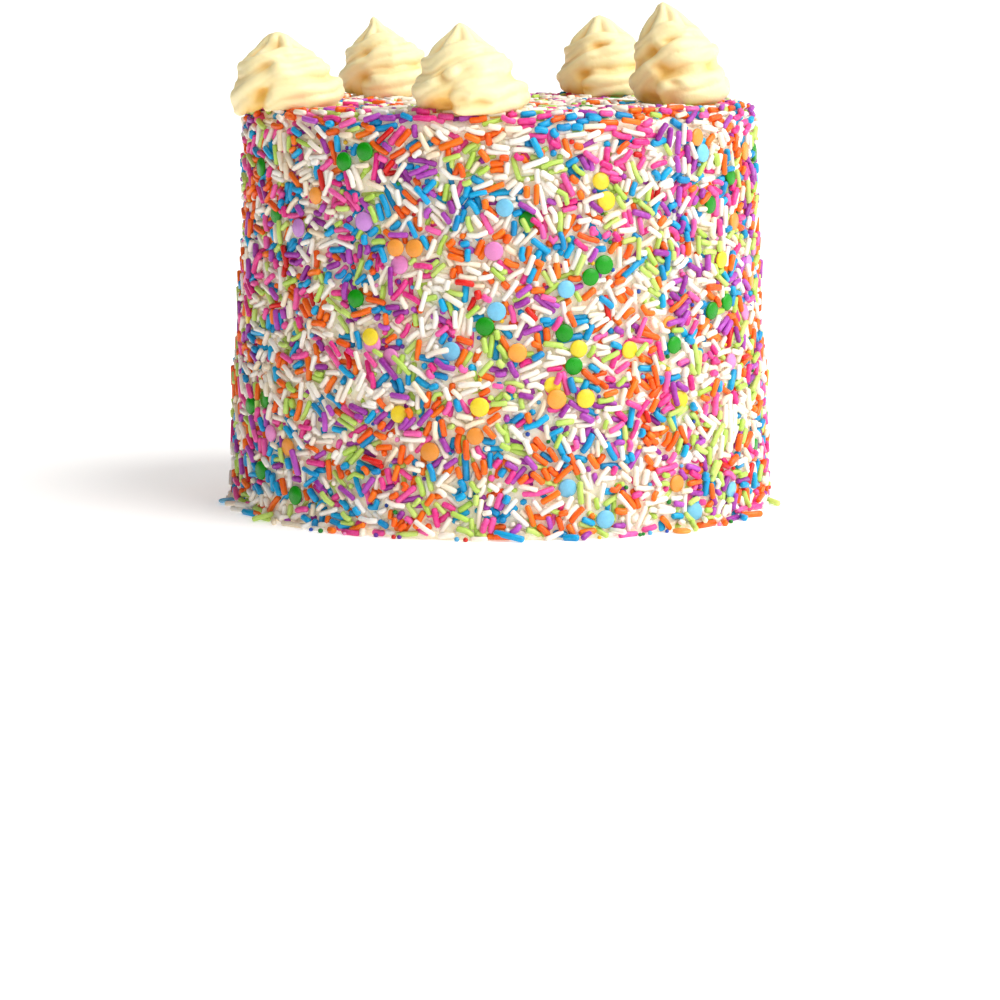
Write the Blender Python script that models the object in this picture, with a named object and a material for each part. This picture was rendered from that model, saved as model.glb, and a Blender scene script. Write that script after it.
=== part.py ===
"""A round sprinkle cake with five piped buttercream swirls on its top.

The cake is one turned solid with jimmies and confetti discs fused to its wall, rim, top and foot.
Each swirl is a solid of its own that stands 0.3 mm clear of the top.
Metres, +Z up. The origin is the centre of the flat base.
"""

import math
import random

import bmesh
import bpy
from mathutils import Matrix, Vector

MM = 0.001

# Frosted body, without its sprinkles
CAKE_HEIGHT = 118.7 * MM
TOP_RADIUS = 75.5 * MM
WAIST_RADIUS = 76.8 * MM  # just above the step in the frosting
SHOULDER_RADIUS = 79.4 * MM  # just below that step
FOOT_RADIUS = 80.2 * MM
STEP_TOP = 64.0 * MM
STEP_BOTTOM = 34.0 * MM
RIM_ROUNDING = 3.0 * MM
RIM_STEPS = 3
STEP_RINGS = 4
BODY_SIDES = 56

# Sprinkles
JIMMY_RADIUS = 0.95 * MM
JIMMY_LENGTHS = (8.0 * MM, 6.8 * MM, 5.6 * MM)
JIMMY_SIDES = 6
DISC_RADIUS = 2.65 * MM
DISC_THICKNESS = 1.1 * MM
DISC_SIDES = 8
JIMMY_LIFT = 0.35 * MM  # height of a jimmy's axis above the frosting
DISC_LIFT = 0.25 * MM  # height of a disc's middle above the frosting
DISC_EVERY = 6  # one sprinkle in this many is a disc
WALL_SPRINKLES = 222
TOP_SPRINKLES = 68
RIM_SPRINKLES = 29
FOOT_SPRINKLES = 30
EDGE_BAND = 4.0 * MM  # of the wall, at the foot and at the rim, which have their own sprinkles
HANG_ZONE = 12.0 * MM  # below the top, where the wall's sprinkles keep clear of the swirls
RING_JITTER = (0.2, 0.8)  # where a sprinkle of the rim or foot lies in its share of the ring
RIM_TILT = (15.0, 40.0)  # degrees above level at which a sprinkle of the rim faces
RIM_TURN = 18.0  # degrees that it may turn off the line of the rim
FOOT_TURN = 30.0  # degrees that one at the foot may turn off the line of the foot
FOOT_REACH = 0.3 * MM  # of its middle past the wall
FOOT_ROOM = 0.25 * MM  # left under it
GOLDEN_ANGLE = math.pi * (3.0 - math.sqrt(5.0))
SEED = 21

# Swirls. Place, radius, height and lean of the tip are in millimetres; the fold angle, in degrees,
# is where the lowest lap of the rope begins. Fullness and roundness shape the outline:
# width at a share s of the height is (1 - s ** fullness) ** roundness.
SWIRLS = {
    "swirl_left": dict(
        place=(-61.7, -25.4), radius=16.7, height=21.6, lean=(-3.0, 0.0), fold=170.0,
        fullness=2.3, roundness=0.97,
    ),
    "swirl_back_left": dict(
        place=(-34.3, 42.7), radius=15.5, height=24.9, lean=(-4.5, 0.5), fold=200.0,
        fullness=2.5, roundness=1.26,
    ),
    "swirl_front": dict(
        place=(-8.1, -60.5), radius=17.1, height=25.0, lean=(-3.5, 0.0), fold=185.0,
        fullness=1.62, roundness=0.83,
    ),
    "swirl_back_right": dict(
        place=(33.0, 50.9), radius=15.6, height=25.2, lean=(-1.3, 0.5), fold=215.0,
        fullness=2.1, roundness=0.76,
    ),
    "swirl_right": dict(
        place=(53.1, -18.3), radius=14.8, height=30.5, lean=(-5.4, 0.0), fold=175.0,
        fullness=2.6, roundness=0.98,
    ),
}
SWIRL_GAP = 0.3 * MM
SWIRL_SIDES = 20
SWIRL_DROOP = 2.0 * MM  # how far the edge of a swirl hangs down where it reaches past the rim
DROOP_OVER = 3.0 * MM  # reach past the rim at which it hangs down in full
RIM_CLEARANCE = 2.0 * MM  # room left round the rim before the edge starts to hang down
EDGE_WIDTH = 0.6 * MM  # least width of the hanging edge
EDGE_INSET = 1.35  # width of the hanging edge against its reach past the rim
LAP_PITCH = 0.325  # climb of the rope in one lap, as a share of the swirl's height
FIRST_FOLD = 0.05  # height of the lowest fold at the fold angle, as a share of the height
LEAST_ROW = 0.35  # share of a row's height below which it is left out, just above the foot
PEAK_START = 0.88  # share of the height above which the rope is drawn out to its tip
FOOT_WIDTH = 0.90  # width of the very bottom, as a share of the radius
WIDEST_AT = 0.16  # share of the height at which a swirl is widest
# How far in each row of one lap lies, as a share of the radius: the fold, then three ridges.
ROW_DEPTHS = (0.215, 0.050, 0.060, 0.000, 0.050, 0.045)
LEAN_CURVE = 1.6  # how late on its way up a swirl starts to lean
DEPTH_FADE = 0.6  # how the folds grow shallow as a swirl narrows

SMOOTH_BODY_ANGLE = math.radians(65.0)  # keeps the sides of a six-sided rod smooth
SMOOTH_SWIRL_ANGLE = math.radians(40.0)


def clear_scene():
    for obj in list(bpy.data.objects):
        bpy.data.objects.remove(obj)


def material(name, colour, roughness):
    """A Principled material with no metal in it."""
    made = bpy.data.materials.new(name)
    made.use_nodes = True
    shader = made.node_tree.nodes["Principled BSDF"]
    shader.inputs["Base Color"].default_value = (*colour, 1.0)
    shader.inputs["Roughness"].default_value = roughness
    shader.inputs["Metallic"].default_value = 0.0
    return made


def mesh_from(name, bm, finish, smooth_angle):
    """Turns a bmesh into a mesh with its faces out and its round parts smooth."""
    bmesh.ops.recalc_face_normals(bm, faces=bm.faces)
    mesh = bpy.data.meshes.new(name)
    bm.to_mesh(mesh)
    bm.free()
    mesh.materials.append(finish)
    mesh.shade_smooth()
    mesh.set_sharp_from_angle(angle=smooth_angle)
    return mesh


def add_object(name, mesh, collection, location=(0.0, 0.0, 0.0)):
    obj = bpy.data.objects.new(name, mesh)
    obj.location = location
    collection.objects.link(obj)
    return obj


def smooth_step(share):
    share = min(1.0, max(0.0, share))
    return share * share * (3.0 - 2.0 * share)


def wall_radius(z):
    """Radius of the frosting at a height: near upright, with a soft step out around the lower half."""
    above = TOP_RADIUS + (WAIST_RADIUS - TOP_RADIUS) * (CAKE_HEIGHT - z) / (CAKE_HEIGHT - STEP_TOP)
    below = SHOULDER_RADIUS + (FOOT_RADIUS - SHOULDER_RADIUS) * (STEP_BOTTOM - z) / STEP_BOTTOM
    share = smooth_step((STEP_TOP - z) / (STEP_TOP - STEP_BOTTOM))
    return min(above, WAIST_RADIUS) * (1.0 - share) + max(below, SHOULDER_RADIUS) * share


def body_profile():
    """(radius, height) of each ring, from the foot up the wall and round the rim."""
    rim_base = CAKE_HEIGHT - RIM_ROUNDING
    heights = [0.0]
    heights += [
        STEP_BOTTOM + (STEP_TOP - STEP_BOTTOM) * i / (STEP_RINGS - 1) for i in range(STEP_RINGS)
    ]
    profile = [(wall_radius(z), z) for z in heights]
    rim_radius = wall_radius(rim_base)
    for i in range(RIM_STEPS + 1):
        angle = math.pi / 2 * i / RIM_STEPS
        profile.append(
            (
                rim_radius - RIM_ROUNDING * (1.0 - math.cos(angle)),
                rim_base + RIM_ROUNDING * math.sin(angle),
            )
        )
    return profile


def ring_stack(bm, sides, rings):
    """Extrudes a closed loop from ring to ring. Each ring is a list of points; both ends are left open."""
    first = bmesh.ops.create_circle(bm, cap_ends=False, segments=sides, radius=1.0)["verts"]
    loop = sorted(first, key=lambda v: math.atan2(v.co.y, v.co.x) % (2 * math.pi))
    for vert, point in zip(loop, rings[0]):
        vert.co = point
    bottom = list(loop)
    for ring in rings[1:]:
        edges = [bm.edges.get((loop[i], loop[(i + 1) % sides])) for i in range(sides)]
        new = bmesh.ops.extrude_edge_only(bm, edges=edges)["geom"]
        new_verts = {g for g in new if isinstance(g, bmesh.types.BMVert)}
        above = []
        for vert in loop:
            above += [e.other_vert(vert) for e in vert.link_edges if e.other_vert(vert) in new_verts]
        loop = above
        for vert, point in zip(loop, ring):
            vert.co = point
    return bottom, loop


def build_body(finish):
    """The frosted body, turned from its profile, with a flat base and top."""
    rings = []
    for radius, z in body_profile():
        angles = [2 * math.pi * i / BODY_SIDES for i in range(BODY_SIDES)]
        rings.append([Vector((radius * math.cos(a), radius * math.sin(a), z)) for a in angles])
    bm = bmesh.new()
    bottom, top = ring_stack(bm, BODY_SIDES, rings)
    bm.faces.new(list(reversed(bottom)))
    bm.faces.new(top)
    mesh = mesh_from("cake", bm, finish, SMOOTH_BODY_ANGLE)
    return add_object("cake", mesh, bpy.context.scene.collection)


def jimmy_mesh(length, finish):
    """A rod of few sides along X."""
    bm = bmesh.new()
    bmesh.ops.create_cone(
        bm,
        cap_ends=True,
        segments=JIMMY_SIDES,
        radius1=JIMMY_RADIUS,
        radius2=JIMMY_RADIUS,
        depth=length,
        matrix=Matrix.Rotation(math.pi / 2, 4, "Y"),
    )
    return mesh_from("jimmy", bm, finish, SMOOTH_BODY_ANGLE)


def disc_mesh(finish):
    """A confetti disc lying in the XY plane."""
    bm = bmesh.new()
    bmesh.ops.create_cone(
        bm,
        cap_ends=True,
        segments=DISC_SIDES,
        radius1=DISC_RADIUS,
        radius2=DISC_RADIUS,
        depth=DISC_THICKNESS,
    )
    return mesh_from("disc", bm, finish, SMOOTH_BODY_ANGLE)


def lie_on(point, normal, turn, lift):
    """Places a sprinkle: its own Z along the surface normal, lifted off the surface and turned about it."""
    up = normal.normalized()
    across = Vector((0.0, 0.0, 1.0)).cross(up)
    if across.length < 1e-6:
        across = Vector((1.0, 0.0, 0.0))
    across.normalize()
    frame = Matrix((across, up.cross(across), up)).transposed().to_4x4()
    return Matrix.Translation(point + up * lift) @ frame @ Matrix.Rotation(turn, 4, "Z")


def under_swirl(point, margin):
    """Whether a point lies under a swirl, or nearer to one than the margin, seen from above."""
    for swirl in SWIRLS.values():
        x, y = (value * MM for value in swirl["place"])
        if math.hypot(point.x - x, point.y - y) < swirl["radius"] * MM + margin:
            return True
    return False


def wall_places():
    """(point, normal, turn) over the wall, on a golden-angle lattice."""
    span = CAKE_HEIGHT - 2 * EDGE_BAND
    for i in range(WALL_SPRINKLES):
        z = EDGE_BAND + span * (i + 0.5) / WALL_SPRINKLES
        angle = i * GOLDEN_ANGLE
        out = Vector((math.cos(angle), math.sin(angle), 0.0))
        point = out * wall_radius(z) + Vector((0.0, 0.0, z))
        turn = random.uniform(0.0, math.pi)
        if not (z > CAKE_HEIGHT - HANG_ZONE and under_swirl(point, EDGE_BAND)):
            yield point, out, turn


def top_places():
    """(point, normal, turn) over the top, clear of the swirls."""
    reach = TOP_RADIUS - RIM_ROUNDING - JIMMY_LENGTHS[0] / 2
    for i in range(TOP_SPRINKLES):
        radius = reach * math.sqrt((i + 0.5) / TOP_SPRINKLES)
        angle = i * GOLDEN_ANGLE
        point = Vector((radius * math.cos(angle), radius * math.sin(angle), CAKE_HEIGHT))
        turn = random.uniform(0.0, math.pi)
        if not under_swirl(point, JIMMY_LENGTHS[0] / 2 + 2 * SWIRL_GAP):
            yield point, Vector((0.0, 0.0, 1.0)), turn


def rim_places():
    """(point, normal, turn) round the rounded rim, nearly along it."""
    for i in range(RIM_SPRINKLES):
        angle = 2 * math.pi * (i + random.uniform(*RING_JITTER)) / RIM_SPRINKLES
        tilt = math.radians(random.uniform(*RIM_TILT))
        out = Vector((math.cos(angle), math.sin(angle), 0.0))
        normal = out * math.cos(tilt) + Vector((0.0, 0.0, math.sin(tilt)))
        centre = out * (TOP_RADIUS - RIM_ROUNDING) + Vector((0.0, 0.0, CAKE_HEIGHT - RIM_ROUNDING))
        point = centre + normal * RIM_ROUNDING
        turn = math.radians(random.uniform(-RIM_TURN, RIM_TURN))
        if not under_swirl(point, JIMMY_LENGTHS[0] / 2 + 2 * SWIRL_GAP):
            yield point, normal, turn


def foot_places():
    """(point, normal, turn) of the sprinkles that lie round the foot, half sunk in the wall."""
    rest = JIMMY_RADIUS + FOOT_ROOM - JIMMY_LIFT
    for i in range(FOOT_SPRINKLES):
        angle = 2 * math.pi * (i + random.uniform(*RING_JITTER)) / FOOT_SPRINKLES
        out = Vector((math.cos(angle), math.sin(angle), 0.0))
        turn = angle + math.pi / 2 + math.radians(random.uniform(-FOOT_TURN, FOOT_TURN))
        point = out * (FOOT_RADIUS + FOOT_REACH) + Vector((0.0, 0.0, rest))
        yield point, Vector((0.0, 0.0, 1.0)), turn


def scatter(finish):
    """Every sprinkle as an object of one collection. Discs, the largest, are spread evenly among the rods."""
    collection = bpy.data.collections.new("sprinkles")
    bpy.context.scene.collection.children.link(collection)
    rods = [jimmy_mesh(length, finish) for length in JIMMY_LENGTHS]
    disc = disc_mesh(finish)
    flat = list(wall_places()) + list(top_places())
    edge = list(rim_places()) + list(foot_places())
    for i, (point, normal, turn) in enumerate(flat + edge):
        is_disc = i < len(flat) and i % DISC_EVERY == 0
        mesh = disc if is_disc else rods[i % len(rods)]
        sprinkle = add_object(f"sprinkle_{i}", mesh, collection)
        sprinkle.matrix_world = lie_on(point, normal, turn, DISC_LIFT if is_disc else JIMMY_LIFT)
    return collection


def fuse(body, collection):
    """Joins the whole collection to the body in one union, then removes it."""
    union = body.modifiers.new("fuse sprinkles", "BOOLEAN")
    union.operation = "UNION"
    union.operand_type = "COLLECTION"
    union.collection = collection
    bpy.context.view_layer.update()
    graph = bpy.context.evaluated_depsgraph_get()
    joined = bpy.data.meshes.new_from_object(body.evaluated_get(graph))
    body.modifiers.clear()
    body.data = joined
    joined.shade_smooth()
    joined.set_sharp_from_angle(angle=SMOOTH_BODY_ANGLE)
    for sprinkle in list(collection.objects):
        bpy.data.objects.remove(sprinkle)
    bpy.data.collections.remove(collection)


class Swirl:
    """A piped swirl, as one skin whose rows of points climb with the laps of a ridged rope."""

    def __init__(self, place, radius, height, lean, fold, fullness, roundness):
        self.place = Vector((place[0] * MM, place[1] * MM, CAKE_HEIGHT + SWIRL_GAP))
        self.radius = radius * MM
        self.height = height * MM
        self.lean = Vector((lean[0] * MM, lean[1] * MM, 0.0))
        self.fold = math.radians(fold)
        self.fullness = fullness
        self.roundness = roundness

    def width(self, share):
        """Share of the radius that the outline has at a share of the height."""
        if share < WIDEST_AT:
            return FOOT_WIDTH + (1.0 - FOOT_WIDTH) * math.sin(math.pi / 2 * share / WIDEST_AT)
        narrowing = (1.0 - share**self.fullness) / (1.0 - WIDEST_AT**self.fullness)
        return max(0.0, narrowing) ** self.roundness

    def depth(self, row):
        """How far in the skin lies at a place across the laps, on a row or between two."""
        low = math.floor(row)
        share = row - low
        here = ROW_DEPTHS[low % len(ROW_DEPTHS)]
        after = ROW_DEPTHS[(low + 1) % len(ROW_DEPTHS)]
        return here * (1.0 - share) + after * share

    def point(self, side, share, row):
        """A point of the skin, by its side, its share of the height and its place across the laps."""
        angle = self.fold + 2 * math.pi * side / SWIRL_SIDES
        width = self.width(share)
        reach = self.radius * (width - self.depth(row) * width**DEPTH_FADE)
        out = Vector((math.cos(angle), math.sin(angle), 0.0)) * reach
        return self.lean * share**LEAN_CURVE + out + Vector((0.0, 0.0, self.height * share))

    def share_at(self, side, row):
        """Share of the height at which a row crosses a side: the rows climb as the rope goes round."""
        return FIRST_FOLD + LAP_PITCH * (row / len(ROW_DEPTHS) + side / SWIRL_SIDES)

    def row_at(self, side, share):
        """The reverse of share_at: the place across the laps that a side has at a height."""
        return ((share - FIRST_FOLD) / LAP_PITCH - side / SWIRL_SIDES) * len(ROW_DEPTHS)

    def columns(self, bm):
        """For each side, its points by row. The last entry is the first side again, one lap on."""
        lap = len(ROW_DEPTHS)
        lowest = LEAST_ROW * LAP_PITCH / lap
        columns = []
        for side in range(SWIRL_SIDES):
            column = {}
            for row in range(-lap, math.ceil(lap / LAP_PITCH)):
                share = self.share_at(side, row)
                if lowest < share < PEAK_START:
                    column[row] = bm.verts.new(self.point(side, share, row))
            columns.append(column)
        columns.append({row - lap: vert for row, vert in columns[0].items()})
        return columns

    def build(self, name, finish):
        bm = bmesh.new()
        columns = self.columns(bm)
        foot = []
        for side in range(SWIRL_SIDES):
            foot.append(bm.verts.new(self.point(side, 0.0, self.row_at(side, 0.0))))
        tip = bm.verts.new(self.lean + Vector((0.0, 0.0, self.height)))
        for side in range(SWIRL_SIDES):
            here, there = columns[side], columns[side + 1]
            low_left, low_right = foot[side], foot[(side + 1) % SWIRL_SIDES]
            for row in sorted(set(here) | set(there)):
                left, right = here.get(row, low_left), there.get(row, low_right)
                corners = dict.fromkeys([low_left, low_right, right, left])
                bm.faces.new(list(corners))
                low_left, low_right = left, right
            bm.faces.new([low_left, low_right, tip])
        self.close_foot(bm, foot)
        mesh = mesh_from(name, bm, finish, SMOOTH_SWIRL_ANGLE)
        return add_object(name, mesh, bpy.context.scene.collection, self.place)

    def close_foot(self, bm, foot):
        """Closes the foot with a flat face. Where it reaches past the rim, its edge hangs down."""
        rim = TOP_RADIUS + RIM_CLEARANCE
        past = [(vert.co + self.place).xy.length - rim for vert in foot]
        if max(past) <= 0.0:
            bm.faces.new(list(reversed(foot)))
            return
        inner = []
        for vert, reach in zip(foot, past):
            inset = max(EDGE_INSET * reach, EDGE_WIDTH) / self.radius
            inner.append(bm.verts.new(vert.co * (1.0 - inset)))
            vert.co.z -= SWIRL_DROOP * smooth_step(reach / DROOP_OVER)
        for i, vert in enumerate(foot):
            after = (i + 1) % SWIRL_SIDES
            bm.faces.new([vert, inner[i], inner[after], foot[after]])
        bm.faces.new(list(reversed(inner)))


def main():
    random.seed(SEED)
    clear_scene()
    frosting = material("sprinkled frosting", (0.93, 0.80, 0.74), 0.45)
    buttercream = material("buttercream", (0.96, 0.86, 0.62), 0.42)
    cake = build_body(frosting)
    fuse(cake, scatter(frosting))
    for name, sizes in SWIRLS.items():
        Swirl(**sizes).build(name, buttercream)


main()
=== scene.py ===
# Sprinkle cake, the looks: frosting, loose sprinkles by the thousand and piped buttercream.
import math
import random

import bmesh
import bpy
import numpy as np
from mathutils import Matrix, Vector


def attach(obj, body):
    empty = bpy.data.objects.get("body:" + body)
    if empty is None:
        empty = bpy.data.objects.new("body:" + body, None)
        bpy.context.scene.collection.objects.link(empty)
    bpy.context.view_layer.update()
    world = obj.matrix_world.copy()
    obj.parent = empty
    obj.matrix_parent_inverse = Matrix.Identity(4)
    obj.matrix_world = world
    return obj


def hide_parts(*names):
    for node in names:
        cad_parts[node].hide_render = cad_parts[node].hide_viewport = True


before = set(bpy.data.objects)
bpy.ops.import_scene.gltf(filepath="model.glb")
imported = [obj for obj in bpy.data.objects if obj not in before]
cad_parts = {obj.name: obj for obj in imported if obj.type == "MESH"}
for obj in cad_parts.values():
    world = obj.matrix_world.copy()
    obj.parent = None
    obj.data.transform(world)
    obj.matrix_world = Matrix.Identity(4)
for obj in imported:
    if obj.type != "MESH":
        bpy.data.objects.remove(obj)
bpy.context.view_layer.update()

mm = 0.001
scene = bpy.context.scene
print("frame loaded:", len(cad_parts), "solids")


# Camera, at the photograph's height and distance

cameraSetup = {
    "distance": 1.0278,  # metres in front of the cake's axis
    "height": 0.16102,
    "lookDown": 8.953,  # degrees
    "lens": 123.41,
}


def addCamera():
    data = bpy.data.cameras.new("camera")
    data.lens = cameraSetup["lens"]
    data.sensor_width = 36.0
    data.clip_end = 100.0
    camera = bpy.data.objects.new("camera", data)
    camera.location = (0.0, -cameraSetup["distance"], cameraSetup["height"])
    camera.rotation_euler = (math.radians(90.0 - cameraSetup["lookDown"]), 0.0, 0.0)
    scene.collection.objects.link(camera)
    scene.camera = camera


addCamera()


# Node helpers

def addNode(tree, kind, place, **settings):
    node = tree.nodes.new(kind)
    node.location = place
    for name, value in settings.items():
        setattr(node, name, value)
    return node


def newMaterial(name):
    made = bpy.data.materials.new(name)
    made.use_nodes = True
    return made, made.node_tree, made.node_tree.nodes["Principled BSDF"]


def linear(hexColour):
    # a colour as written for the screen, turned into light values
    parts = [int(hexColour[i:i + 2], 16) / 255.0 for i in (0, 2, 4)]
    return [p / 12.92 if p <= 0.04045 else ((p + 0.055) / 1.055) ** 2.4 for p in parts]


def colourMix(tree, place, factor, first, second, blend="MIX"):
    mix = addNode(tree, "ShaderNodeMix", place, data_type="RGBA", blend_type=blend)
    for socket, value in ((mix.inputs[0], factor), (mix.inputs[6], first), (mix.inputs[7], second)):
        if isinstance(value, bpy.types.NodeSocket):
            tree.links.new(value, socket)
        elif isinstance(value, (int, float)):
            socket.default_value = value
        else:
            socket.default_value = (*value, 1.0)
    return mix.outputs[2]


def remap(tree, place, value, low, high, outLow, outHigh):
    node = addNode(tree, "ShaderNodeMapRange", place)
    tree.links.new(value, node.inputs["Value"])
    ends = (("From Min", low), ("From Max", high), ("To Min", outLow), ("To Max", outHigh))
    for name, number in ends:
        node.inputs[name].default_value = number
    return node.outputs["Result"]


def makeMottleGroup():
    # soft unevenness at a given size, for dye, frosting and cream
    group = bpy.data.node_groups.new("mottle", "ShaderNodeTree")
    group.interface.new_socket("Size", in_out="INPUT", socket_type="NodeSocketFloat")
    group.interface.new_socket("Detail", in_out="INPUT", socket_type="NodeSocketFloat")
    group.interface.new_socket("Mask", in_out="OUTPUT", socket_type="NodeSocketFloat")
    start = addNode(group, "NodeGroupInput", (-600, 0))
    end = addNode(group, "NodeGroupOutput", (300, 0))
    where = addNode(group, "ShaderNodeTexCoord", (-600, 200))
    scale = addNode(group, "ShaderNodeMath", (-400, 0), operation="DIVIDE")
    scale.inputs[0].default_value = 1.0
    group.links.new(start.outputs["Size"], scale.inputs[1])
    noise = addNode(group, "ShaderNodeTexNoise", (-200, 100))
    noise.inputs["Roughness"].default_value = 0.55
    group.links.new(where.outputs["Object"], noise.inputs["Vector"])
    group.links.new(scale.outputs[0], noise.inputs["Scale"])
    group.links.new(start.outputs["Detail"], noise.inputs["Detail"])
    group.links.new(noise.outputs["Fac"], end.inputs["Mask"])
    return group


mottleGroup = makeMottleGroup()


def mottle(tree, place, size, detail=2.0):
    node = addNode(tree, "ShaderNodeGroup", place, node_tree=mottleGroup)
    node.inputs["Size"].default_value = size
    node.inputs["Detail"].default_value = detail
    return node.outputs["Mask"]


def addBump(tree, place, shader, height, distance, strength):
    bump = addNode(tree, "ShaderNodeBump", place)
    bump.inputs["Distance"].default_value = distance
    bump.inputs["Strength"].default_value = strength
    tree.links.new(height, bump.inputs["Height"])
    tree.links.new(bump.outputs["Normal"], shader.inputs["Normal"])


# Mesh helpers

def bmeshObject(name, bm, material):
    bmesh.ops.recalc_face_normals(bm, faces=bm.faces)
    mesh = bpy.data.meshes.new(name)
    bm.to_mesh(mesh)
    bm.free()
    mesh.shade_smooth()
    mesh.materials.append(material)
    obj = bpy.data.objects.new(name, mesh)
    scene.collection.objects.link(obj)
    return obj


def extrudeRings(bm, rings):
    # a loop of points, extruded from ring to ring; returns the first and last loop
    sides = len(rings[0])
    loop = bmesh.ops.create_circle(bm, cap_ends=False, segments=sides, radius=1.0)["verts"]
    loop = sorted(loop, key=lambda v: math.atan2(v.co.y, v.co.x) % math.tau)
    for vert, point in zip(loop, rings[0]):
        vert.co = point
    first = loop
    for ring in rings[1:]:
        edges = [bm.edges.get((loop[i], loop[i - 1])) for i in range(sides)]
        made = set(bmesh.ops.extrude_edge_only(bm, edges=edges)["geom"])
        step = {}
        for vert in loop:
            for edge in vert.link_edges:
                if edge.other_vert(vert) in made:
                    step[vert] = edge.other_vert(vert)
        loop = [step[vert] for vert in loop]
        for vert, point in zip(loop, ring):
            vert.co = point
    return first, loop


def applyModifiers(obj):
    graph = bpy.context.evaluated_depsgraph_get()
    mesh = bpy.data.meshes.new_from_object(obj.evaluated_get(graph))
    obj.modifiers.clear()
    old = obj.data
    obj.data = mesh
    bpy.data.meshes.remove(old)


# The frosted cake, in millimetres. The sizes are those of its solid.

cake = {
    "height": 118.7,
    "topRadius": 75.5,
    "waistRadius": 76.8,
    "shoulderRadius": 79.4,
    "footRadius": 80.2,
    "stepTop": 64.0,
    "stepBottom": 34.0,
    "rimRounding": 3.0,
    "behind": 1.3,  # the frosting lies this far inside, so that two layers of sprinkles fit
    "unevenness": 0.13,  # of each of the long waves in its surface
    "waves": 14,
    "paintedGlow": 0.15,  # painted glow: the frosting gives off light of its own between the sprinkles, standing in for light that soft frosting passes on and lifting its shade
}
rng = np.random.default_rng(7)
topLevel = cake["height"] - cake["behind"]
rimCentre = cake["topRadius"] - cake["behind"] - cake["rimRounding"]
wallEnd = topLevel - cake["rimRounding"]  # along the profile, from the foot
rimEnd = wallEnd + cake["rimRounding"] * math.pi / 2


def wallRadius(z):
    above = np.interp(z, [cake["stepTop"], cake["height"]], [cake["waistRadius"], cake["topRadius"]])
    below = np.interp(z, [0.0, cake["stepBottom"]], [cake["footRadius"], cake["shoulderRadius"]])
    share = np.clip((cake["stepTop"] - z) / (cake["stepTop"] - cake["stepBottom"]), 0.0, 1.0)
    share = share * share * (3.0 - 2.0 * share)
    return above * (1.0 - share) + below * share - cake["behind"]


waveDirections = rng.normal(size=(cake["waves"], 3))
waveDirections /= np.linalg.norm(waveDirections, axis=1)[:, None]
waveDirections *= math.tau / rng.uniform(16.0, 46.0, cake["waves"])[:, None]
wavePhases = rng.uniform(0.0, math.tau, cake["waves"])


def unevenness(points):
    return cake["unevenness"] * np.sin(points @ waveDirections.T + wavePhases).sum(axis=-1)


def profile(s):
    # radius, height and outward slope of the frosting, by the distance up its outline from the foot
    bend = np.clip((s - wallEnd) / cake["rimRounding"], 0.0, math.pi / 2)
    onWall = s < wallEnd
    z = np.where(onWall, s, wallEnd + cake["rimRounding"] * np.sin(bend))
    radius = np.where(onWall, wallRadius(s), rimCentre + cake["rimRounding"] * np.cos(bend))
    radius = radius - np.maximum(0.0, s - rimEnd)
    return radius, z, bend


def skin(angle, s):
    # place, outward direction and direction up the outline of the frosting
    radius, z, bend = profile(s)
    out = np.stack([np.cos(angle), np.sin(angle), np.zeros_like(angle)], -1)
    up = np.array([0.0, 0.0, 1.0])
    normal = out * np.cos(bend)[..., None] + up * np.sin(bend)[..., None]
    onward = up * np.cos(bend)[..., None] - out * np.sin(bend)[..., None]
    place = out * radius[..., None] + up * z[..., None]
    return place + normal * unevenness(place)[..., None], normal, onward


def frostingMaterial():
    material, tree, shader = newMaterial("cream frosting")
    blush = remap(tree, (-700, 200), mottle(tree, (-900, 200), 0.0035, 3.0), 0.42, 0.68, 0.0, 1.0)
    colour = colourMix(tree, (-450, 200), blush, linear("FFF5DE"), linear("FDE8C8"))
    tree.links.new(colour, shader.inputs["Base Color"])
    # painted glow: the frosting's own colour is given off as light, lifting its shade
    tree.links.new(colour, shader.inputs["Emission Color"])
    shader.inputs["Emission Strength"].default_value = cake["paintedGlow"]
    fine = mottle(tree, (-700, -200), 0.0009, 2.0)
    tree.links.new(remap(tree, (-450, -50), fine, 0.3, 0.7, 0.42, 0.6), shader.inputs["Roughness"])
    addBump(tree, (-250, -250), shader, fine, 0.0005, 0.5)
    shader.inputs["Subsurface Weight"].default_value = 0.6
    shader.inputs["Subsurface Radius"].default_value = (1.0, 0.8, 0.6)
    shader.inputs["Subsurface Scale"].default_value = 0.004
    return material


frostingMesh = {"columns": 300, "wallRows": 70, "rimRows": 7, "topRows": 34, "lumps": 0.12}


def buildFrosting():
    rows = np.concatenate([
        np.linspace(0.0, wallEnd, frostingMesh["wallRows"], endpoint=False),
        np.linspace(wallEnd, rimEnd, frostingMesh["rimRows"], endpoint=False),
        rimEnd + rimCentre * np.linspace(0.0, 0.98, frostingMesh["topRows"]),
    ])
    angles = np.linspace(0.0, math.tau, frostingMesh["columns"], endpoint=False)
    places, normals, _ = skin(*np.meshgrid(angles, rows))
    lumps = np.sin(places * 1.9).prod(axis=-1)
    lumps = lumps + np.sin(places[..., [1, 2, 0]] * 1.1 + 0.7).prod(axis=-1)
    fade = np.minimum(1.0, rows / 2.0)[:, None]
    places += normals * (lumps * fade * frostingMesh["lumps"])[..., None]
    places[0, :, 2] = 0.0
    bm = bmesh.new()
    first, last = extrudeRings(bm, [[Vector(p) * mm for p in ring] for ring in places.tolist()])
    bm.faces.new(list(reversed(first)))
    cap = bm.faces.new(last)
    bmesh.ops.poke(bm, faces=[cap])
    return bmeshObject("frosting", bm, frostingMaterial())


frosting = buildFrosting()
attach(frosting, "root")
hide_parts("cake")
print("frosting:", len(frosting.data.polygons), "faces")


# Buttercream swirls. Sizes in millimetres, angles in degrees.
# Each dent is its angle round the swirl, its share of the height and its depth.
# Blunt is how wide the tip is rounded.

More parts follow.
